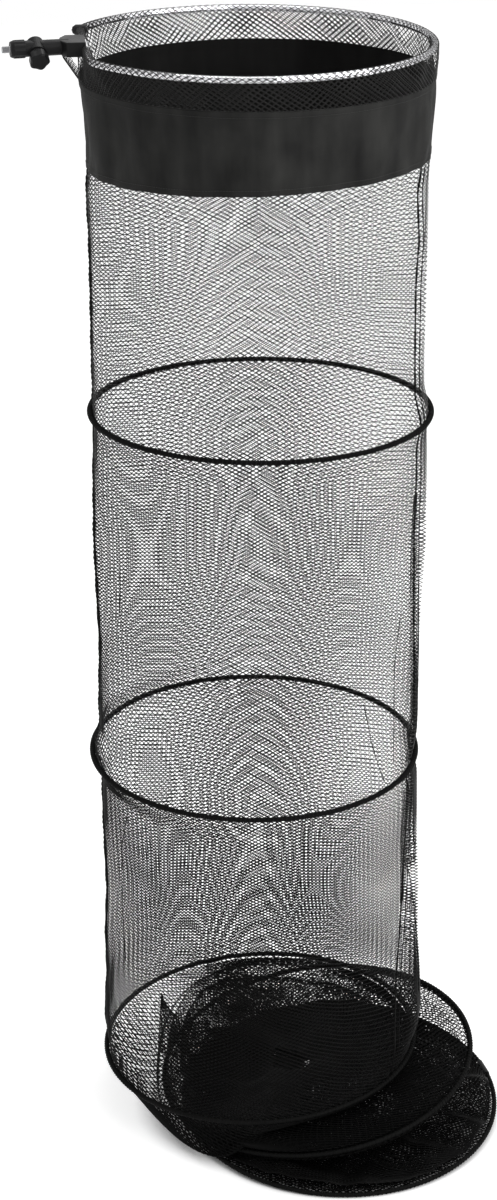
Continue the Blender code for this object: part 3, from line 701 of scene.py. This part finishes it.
# Each hanging net: body, both edges, phase of its waves, rows of half diamonds, thread and its taper
panels = {
    1: ("top_ring", band_foot_edge, ring_edge(2, EDGE_GAP), 0.4, 114, 0.00061, (1.12, 0.88, 0.95)),
    2: ("ring_2", ring_edge(2, -EDGE_GAP), ring_edge(3, EDGE_GAP), 2.1, 178, 0.00077, (1.0, 0.74, 0.90)),
    3: ("ring_3", ring_edge(3, -EDGE_GAP), ring_edge(4, EDGE_GAP), 4.0, 178, 0.00092, (0.84, 0.64, 1.0)),
}
surfaces = {}
for number, (body, top, foot, phase, rows, radius, taper) in panels.items():
    surfaces[number] = drawn_net(number, top, foot, phase)
    swell = thread_taper(*taper)
    for part in add_net(number, surfaces[number], NET_COLUMNS, rows, radius, body, swell):
        gather(part)
    add_seams(number, surfaces[number], body)
    if number in PLEATS:
        add_pleat(number, surfaces[number], body)
for count, (number, *places) in enumerate(CREASES, 1):
    heights, across = zip(*places)
    crease = sheet_cord(number, surfaces[number], heights, across, CREASE_RADIUS)
    body = f"ring_{number}"
    gather(piece(f"net_crease_{count}", crease, fine_thread, body, "net"))


# Coarse net, wrapped over the tube and hung to the band
def tube_route():
    """The tube's middle line in the net's frame, from one side of the bracket round to the other."""
    distance = TOP_RADIUS * cos(FLAT_HALF_ANGLE)
    corner = np.array((0, TOP_RADIUS * sin(FLAT_HALF_ANGLE)))
    leave = corner - (0, CORNER_REACH)
    first = FLAT_HALF_ANGLE + CORNER_REACH / TOP_RADIUS
    angle = np.linspace(first, 2 * pi - first, 400)
    arc = np.stack([distance - TOP_RADIUS * np.cos(angle), TOP_RADIUS * np.sin(angle)], -1)
    t = np.linspace(0, 1, 12)[:, None]
    bend = leave * (1 - t) ** 2 + corner * 2 * t * (1 - t) + arc[0] * t ** 2
    start = np.array(((0, BRACKET_HALF + 0.004),))
    half = np.concatenate([start, bend])
    route = np.concatenate([half, arc[1:-1], half[::-1] * (1, -1)])
    turn = BRACKET_TURN - NET_TURN
    spin = np.array(((cos(turn), -sin(turn)), (sin(turn), cos(turn))))
    flat = (route - (distance, 0)) @ spin.T
    length = np.concatenate([[0], np.cumsum(np.linalg.norm(np.diff(flat, axis=0), axis=1))])
    return flat, length


route, route_length = tube_route()


def route_at(turn):
    """The tube's middle and its outward direction at a share of the route."""
    def place(at):
        return np.stack([np.interp(at, route_length, route[:, axis]) for axis in (0, 1)], -1)

    at = np.clip(turn, 0, 1) * route_length[-1]
    along = unit(place(at + 0.004) - place(at - 0.004))
    outward = np.stack([-along[..., 1], along[..., 0]], -1)
    return place(at), outward


# The wrapped net: its height below the tube, its radius over the tube, its length from edge to edge
LEG = -COLLAR_FOOT
WRAP_RADIUS = TUBE_RADIUS + 0.0009
WRAP_LENGTH = 2 * LEG + pi * WRAP_RADIUS

# Top edge of the net under the bracket, and half of the angle that it takes up
UNDER_RADIUS = 0.2570
UNDER_TOP = -0.0125
UNDER_SPREAD = radians(12)

# Thread of the coarse net, and the width and height of its diamonds
COARSE_RADIUS = 0.00072
COARSE_WIDE = 0.0103
COARSE_HIGH = 0.0067


def wrap_surface(turn, share):
    """Up the outside from the band, over the tube, and down the inside to the band."""
    middle, outward = route_at(turn)
    bearing = np.arctan2(middle[..., 1], middle[..., 0])
    foot = band_top_edge(bearing)
    run = np.clip(share, -0.02, 1.02) * WRAP_LENGTH
    roll = np.clip((run - LEG) / WRAP_RADIUS, 0, pi)
    down = np.where(run < LEG, LEG - run, np.maximum(run - WRAP_LENGTH + LEG, 0)) / LEG
    side = np.where(run < LEG, 1, -1)
    radial = WRAP_RADIUS * np.cos(roll)
    level = WRAP_RADIUS * np.sin(roll)
    at_tube = np.concatenate([middle + outward * radial[..., None], level[..., None]], -1)
    spread = np.stack([np.cos(bearing), np.sin(bearing), bearing * 0], -1) * (0.0012 * side)[..., None]
    slack = 0.0015 * np.sin(bearing * 23 + side) * np.sin(np.minimum(down, 1) * pi)
    placed = at_tube * (1 - down[..., None]) + (foot + spread) * down[..., None]
    placed[..., :2] += outward * slack[..., None]
    return in_world(placed)


def under_bracket(turn, share):
    """The coarse net that hangs from under the bracket to the band."""
    bearing = FLAT_BEARING + UNDER_SPREAD * (2 * np.clip(turn, 0, 1) - 1)
    level = np.full_like(bearing, UNDER_TOP)
    top = np.stack([UNDER_RADIUS * np.cos(bearing), UNDER_RADIUS * np.sin(bearing), level], -1)
    foot = band_top_edge(bearing)
    down = np.clip(share, -0.05, 1.05)[..., None]
    return in_world(top * (1 - down) + foot * down)


def over_tube(turn, share):
    """Threads thinner where the net is stretched over the tube, and bunched beside the bracket."""
    middle, _ = route_at(turn)
    beside = np.clip(-middle[..., 0] / BAND_TOP_RADIUS, 0, 1) ** 5
    return 1 + (0.75 * beside - 0.30) * np.exp(-((share - 0.5) / 0.17) ** 2)


def add_coarse(name, surface, columns, rows, swell=None):
    """Both lays of a coarse net, of flat thread."""
    how = {"closed": False, "steps": 2, "sides": 4, "flat": 0.6, "swell": swell}
    for side, lay in LAYS:
        part = net_lay(surface, columns, rows, COARSE_RADIUS, side, **how)
        net = piece(f"{name}_{lay}_lay", part, coarse_thread, "top_ring", "coarse_net", "mesh_collar")
        gather(net)


wrap_columns = round(route_length[-1] / COARSE_WIDE)
wrap_rows = 2 * round(WRAP_LENGTH / COARSE_HIGH)
add_coarse("coarse_wrap", wrap_surface, wrap_columns, wrap_rows, over_tube)
add_coarse("coarse_under_bracket", under_bracket, 10, 8)


# Band of woven cloth, with a turned hem along both edges
def cloth_shell(surface, columns, rows, thickness):
    """A closed cloth tube: outer face, inner face and both edges, as points and faces."""
    turn, share = np.meshgrid(np.arange(columns) / columns, np.arange(rows + 1) / rows)
    middle = surface(turn, share)
    around = np.roll(middle, -1, 1) - np.roll(middle, 1, 1)
    outward = unit(np.cross(np.gradient(middle, axis=0), around))
    half = (thickness(share) / 2)[..., None]
    points = np.concatenate([middle + outward * half, middle - outward * half]).reshape(-1, 3)
    number = np.arange((rows + 1) * columns).reshape(rows + 1, columns)
    across = np.roll(number, -1, 1)
    outer = np.stack([number[:-1], number[1:], across[1:], across[:-1]], -1).reshape(-1, 4)
    inner = outer[:, ::-1] + number.size
    low = np.stack([number[-1], number[-1] + number.size, across[-1] + number.size, across[-1]], -1)
    high = np.stack([number[0], across[0], across[0] + number.size, number[0] + number.size], -1)
    return points, np.concatenate([outer, inner, low, high]).tolist()


def band_surface(turn, share):
    """The band's middle, puckered where it is sewn and slack between."""
    angle = turn * 2 * pi
    high = band_top_edge(angle)
    low = band_foot_edge(angle)
    pucker = 0.0006 * np.sin(17 * angle + 4 * share) + 0.0014 * np.sin(11 * angle - 2.5 * share + 1)
    pucker = pucker * (0.3 + np.sin(share * pi))
    slack = 0.0024 * np.sin(13 * angle + 2 * np.sin(3 * angle) + 1.5 * share) * np.sin(share * pi)
    crease = 0.0009 * np.sin(29 * angle + 9 * share + 2 * np.sin(4 * angle)) * share
    bulge = pucker + (crease + slack)
    placed = high * (1 - share[..., None]) + low * share[..., None]
    spread = np.stack([np.cos(angle), np.sin(angle), angle * 0], -1)
    return in_world(placed + spread * bulge[..., None])


def hem(share):
    """The band's thickness: doubled where the hems are turned."""
    edge = np.minimum(share, 1 - share) * (COLLAR_FOOT - BAND_FOOT)
    return 0.0010 + 0.0012 / (1 + np.exp((edge - 0.009) / 0.0006))


def add_band():
    """The band, with a darker copy of its cloth on the inner face as painted shade, and a UV map in metres.
    """
    columns, rows = 420, 60
    shell = cloth_shell(band_surface, columns, rows, hem)
    band = piece("woven_band", shell, band_cloth, "top_ring", "band_fabric", "fabric_band")
    chart = band.data.uv_layers.new(name="cloth")
    corner = np.zeros(len(band.data.loops), int)
    band.data.loops.foreach_get("vertex_index", corner)
    corner = corner % ((rows + 1) * columns)
    around = corner % columns / columns
    down = corner // columns / rows
    at_join = (np.ptp(around.reshape(-1, 4), axis=1) > 0.5).repeat(4)
    around = np.where(at_join & (around < 0.5), around + 1, around)
    uv = np.stack([around * 2 * pi * BAND_TOP_RADIUS, down * (COLLAR_FOOT - BAND_FOOT)], -1)
    chart.data.foreach_set("uv", uv.reshape(-1))
    # Inner faces take the darker cloth: painted shade inside the band
    inner_shade_faces = np.zeros(len(band.data.polygons), int)
    inner_shade_faces[rows * columns:2 * rows * columns] = 1
    band.data.materials.append(band_shaded_inside)
    band.data.polygons.foreach_set("material_index", inner_shade_faces)
    gather(band)
    return band


# Stitches of the band: their step and length as shares of a turn, their rise and their thread
STITCH_STEP = 0.0027
STITCH_LENGTH = 0.0017
STITCH_RISE = 0.0010
STITCH_THREAD = 0.00022


def add_stitches(name, share):
    """A row of short stitches round the outer face of the band."""
    parts = []
    for turn in np.arange(0, 1, STITCH_STEP):
        angle = turn * 2 * pi
        along = np.linspace(turn, turn + STITCH_LENGTH, 5)
        middle = band_surface(along, np.full_like(along, share))
        outward = np.broadcast_to(turned((cos(angle), sin(angle), 0)), middle.shape)
        rise = STITCH_RISE + 0.0003 * np.sin(np.linspace(0, pi, 5))[:, None]
        parts.append(tubes((middle + outward * rise)[None], outward[None], STITCH_THREAD, 4))
    stitches = piece(name, join_parts(parts), pale_thread, "top_ring", "band_fabric")
    gather(stitches)
    return stitches


band = add_band()
rows_of_stitches = [add_stitches("band_top_stitches", 0.075), add_stitches("band_foot_stitches", 0.93)]


# The heap: the nets of the lowest two rings, folded inside them
FLOOR = cad_box[0].z

# How far above or below its ring's plane a folded net's edge is sewn
LIFT = 0.0045


def through(stations, share):
    """A smooth path through stations at a share of its length."""
    legs = [np.linalg.norm(b - a, axis=-1).mean() for a, b in zip(stations, stations[1:])]
    marks = np.concatenate([[0], np.cumsum(legs)]) / sum(legs)
    at = np.interp(share, marks, np.arange(len(marks)))
    leg = np.minimum(at.astype(int), len(legs) - 1)
    t = (at - leg)[..., None]
    line = np.stack([2 * stations[0] - stations[1], *stations, 2 * stations[-1] - stations[-2]])
    a, b, c, d = (np.take_along_axis(line, (leg + k)[None, ..., None], 0)[0] for k in range(4))
    square = 2 * a - 5 * b + 4 * c - d
    cube = 3 * b - a - 3 * c + d
    return 0.5 * (2 * b + (c - a) * t + square * t ** 2 + cube * t ** 3)


def crumple(placed, share, seed, height):
    """Creases in the folded net, none at its rings, and all of it kept off the floor."""
    dice = np.random.default_rng(seed)
    calm = np.minimum(1, 5 * np.minimum(share, 1 - share)).clip(0)
    lift = np.zeros_like(share)
    for _ in range(9):
        bearing, phase = dice.uniform(0, pi), dice.uniform(0, 2 * pi)
        length = dice.uniform(0.035, 0.12)
        run = placed[..., 0] * cos(bearing) + placed[..., 1] * sin(bearing)
        bend = 0.02 * np.sin(run * 9 + phase)
        side = placed[..., 1] * cos(bearing) - placed[..., 0] * sin(bearing) + bend
        lift += np.sin(side * 2 * pi / length + phase) * length / 0.12
    placed[..., 2] += lift * calm * height
    placed[..., 2] = np.maximum(placed[..., 2], FLOOR + 0.002)
    return placed


def facing(angle, bearing, spread):
    """1 where an angle faces a bearing, falling to 0 at the spread."""
    off = np.abs((angle - radians(bearing) + pi) % (2 * pi) - pi) / radians(spread)
    return np.where(off < 1, (1 + np.cos(off * pi)) / 2, 0)[..., None]


def waist(angle, middle, radius, height):
    """A small rippled loop round the middle of the heap, where the net crosses it."""
    ripple = radius * (1 + 0.18 * np.sin(3 * angle + height * 900) + 0.1 * np.sin(7 * angle))
    x = middle[0] + ripple * np.cos(angle)
    y = middle[1] + ripple * np.sin(angle)
    return np.stack([x, y, np.full_like(angle, height)], -1)


def at_floor(points, height):
    """The points lowered to a height over the floor."""
    return np.concatenate([points[..., :2], np.full_like(points[..., :1], FLOOR + height)], -1)


def net_4_surface(turn, share):
    """From ring 4 in to the middle of the heap, out, in again and out to ring 5.

    At its left it falls outside ring 5 first, and at its left front as far as the floor."""
    angle = turn * 2 * pi
    rim = ring_point(4, angle, NET_RADIUS, -LIFT)
    foot = ring_point(5, angle, NET_RADIUS, LIFT)
    left = facing(angle, 190, 105)
    apron = facing(angle, 214, 58)
    spill = at_floor(ring_point(5, angle, RING_RADIUS + 0.018), 0.004)
    over = ring_point(5, angle, NET_RADIUS - 0.002, 0.008)
    hung = ring_point(4, angle, NET_RADIUS - 0.006, -0.014)
    outside = ring_point(5, angle, RING_RADIUS + 0.010, 0.004)
    first = (hung * (1 - left) + outside * left) * (1 - apron) + spill * apron
    second = ring_point(4, angle, NET_RADIUS - 0.03, -0.018) * (1 - left) + over * left
    middle = (np.array(RINGS[4][0]) + np.array(RINGS[5][0])) / 2
    swirl = ring_point(5, angle, 0.215, 0.012) * left + ring_point(4, angle, 0.215, -0.024) * (1 - left)
    back = ring_point(5, angle, NET_RADIUS - 0.020, 0.006)
    tent = ring_point(4, angle, NET_RADIUS - 0.006, -0.016)
    stations = [rim, first, second, waist(angle, middle, 0.030, -1.632), swirl,
                waist(angle, middle, 0.034, -1.640), back * left + tent * (1 - left), foot]
    return in_world(crumple(through(stations, share), share, 4, 0.0022))


def net_5_surface(turn, share):
    """From ring 5 in to the middle of the heap, out to ring 6, in again and back to ring 6."""
    angle = turn * 2 * pi
    rim = ring_point(5, angle, NET_RADIUS, -LIFT)
    foot = ring_point(6, angle, NET_RADIUS, LIFT)
    left = facing(angle, 150, 110)
    under = ring_point(5, angle, NET_RADIUS - 0.012, -0.012)
    over = ring_point(6, angle, NET_RADIUS - 0.006, 0.010)
    second = under * (1 - left) + over * left
    middle = (np.array(RINGS[5][0]) + np.array(RINGS[6][0])) / 2
    spread = ring_point(6, angle, NET_RADIUS - 0.004, 0.010)
    inner = ring_point(6, angle, 0.10, 0.006)
    stations = [rim, second, waist(angle, middle, 0.05, -1.646), spread, inner, foot]
    return in_world(crumple(through(stations, share), share, 9, 0.0024))


# Columns, rows of half diamonds and thread of the folded nets
FOLDED_COLUMNS = 136
FOLDED_ROWS = 215
FOLDED_THREAD = 0.00085


def add_folded(upper, surface, swell):
    """The net between a ring and the next one down, baked into the model's frame on no body."""
    for net in add_net(upper, surface, FOLDED_COLUMNS, FOLDED_ROWS, FOLDED_THREAD, None, swell):
        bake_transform(net)


def around_from(turn, middle, width):
    """1 at a place round the net, falling to 0 away from it."""
    return np.exp(-(((turn - middle + 0.5) % 1 - 0.5) / width) ** 2)


def net_4_swell(turn, share):
    """Thicker at ring 4 and in the folds, thinner where it is stretched at the left back and the back."""
    heavy = 1 + 0.15 * np.sin(pi * share.clip(0, 1)) ** 2
    outer = 0.34 * np.exp(-(share / 0.14) ** 2)
    left_back = 1 - 0.45 * around_from(turn, 0.385, 0.045)
    back = 1 - 0.42 * around_from(turn, 0.20, 0.05)
    return (heavy + outer) * left_back * back


def net_5_swell(turn, share):
    """Thicker towards ring 6, and thinner at the right, where the folds are loose."""
    return (1 + 0.25 * share.clip(0, 1) ** 0.7) * (1 - 0.30 * around_from(turn, 0.95, 0.08))


add_folded(4, net_4_surface, net_4_swell)
add_folded(5, net_5_surface, net_5_swell)


# Height, left and right edge of a fold that stands up in the heap
FIN = (
    (-1.517, -0.1412, -0.1408), (-1.531, -0.1420, -0.1372), (-1.546, -0.1430, -0.1290),
    (-1.569, -0.1440, -0.1134), (-1.600, -0.1462, -0.1110), (-1.628, -0.1479, -0.1090),
)


def add_fin():
    """The fold, and a cord along each of its edges."""
    rows = np.array(FIN)

    def leaf(turn, share):
        level, x = strip_at(rows, turn, share)
        bow = 0.010 * np.sin(pi * turn) * share
        return in_world(np.stack([x, 0.004 - bow, level], -1))

    for side, lay in LAYS:
        flap = net_lay(leaf, 6, 34, 0.0010, side, closed=False)
        piece(f"net_4_fin_{lay}_lay", flap, fine_thread, "ring_5", "net")
    for edge in (1, 2):
        line = in_world(np.stack([rows[:, edge], np.full(len(rows), 0.003), rows[:, 0]], -1))
        cord = tubes(line[None], np.broadcast_to((0.0, -1.0, 0.0), (1, len(rows), 3)), 0.0008, 5)
        piece(f"net_4_fin_edge_{edge}", cord, fine_thread, "ring_5", "net")


add_fin()


# Threads of the base net: their bearings, how far apart they lie and how thick they are
BASE_BEARINGS = (radians(32), radians(-32))
BASE_PITCH = 0.0053
BASE_THREAD = 0.0009


def base_threads():
    """The flat net in the lowest ring: straight threads both ways, cut to the ring."""
    parts = []
    for lay, bearing in enumerate(BASE_BEARINGS):
        along = np.array((cos(bearing), sin(bearing)))
        aside = np.array((-sin(bearing), cos(bearing)))
        for offset in np.arange(BASE_PITCH / 2 - NET_RADIUS, NET_RADIUS, BASE_PITCH):
            chord = (NET_RADIUS ** 2 - offset ** 2) ** 0.5
            run = np.linspace(-chord, chord, max(3, round(chord / 0.005)))
            flat = run[:, None] * along + offset * aside
            out = np.linalg.norm(flat, axis=-1)
            angle = np.arctan2(flat[:, 1], flat[:, 0])
            dip = 0.004 * (1 - (out / NET_RADIUS) ** 2) + 0.0006 * lay
            placed = ring_point(LOWEST, angle, out, -0.003 - dip)
            placed[..., 2] = np.maximum(placed[..., 2], FLOOR + 0.001)
            upward = np.broadcast_to((0.0, 0.0, 1.0), (1, len(run), 3))
            parts.append(tubes(in_world(placed)[None], upward, BASE_THREAD))
    return join_parts(parts)


piece("base_threads", base_threads(), fine_thread, "ring_6", "net", "base_net")


def add_floor():
    bpy.ops.object.select_all(action="DESELECT")
    bpy.ops.mesh.primitive_plane_add(size=18, location=(0, 0, FLOOR - 0.0006))
    floor = bpy.context.object
    floor.name = "floor"
    floor.data.materials.append(painted_floor())


add_floor()

# CAD pieces that stay, with the finish of each
finishes = {
    "threaded_stud": turned_steel,
    "lock_collar": black_plastic,
    "adaptor_front": black_plastic,
    "pivot_bolt": turned_steel,
    "clamp_washer": turned_steel,
    "clamp_knob": knob_plastic,
    "knob_insert": turned_brass,
    "adaptor_arm": black_plastic,
    "top_ring_tube": drawn_tube,
    "ring_plug": turned_steel,
    "ring_screw_1": turned_steel,
    "ring_screw_2": turned_steel,
    "corner_guard": black_plastic,
    "ring_6_clip": black_plastic,
}
for number in RINGS:
    finishes[f"ring_{number}_hoop"] = dull_wire
for name, material in finishes.items():
    nodes[name].data.materials.clear()
    nodes[name].data.materials.append(material)
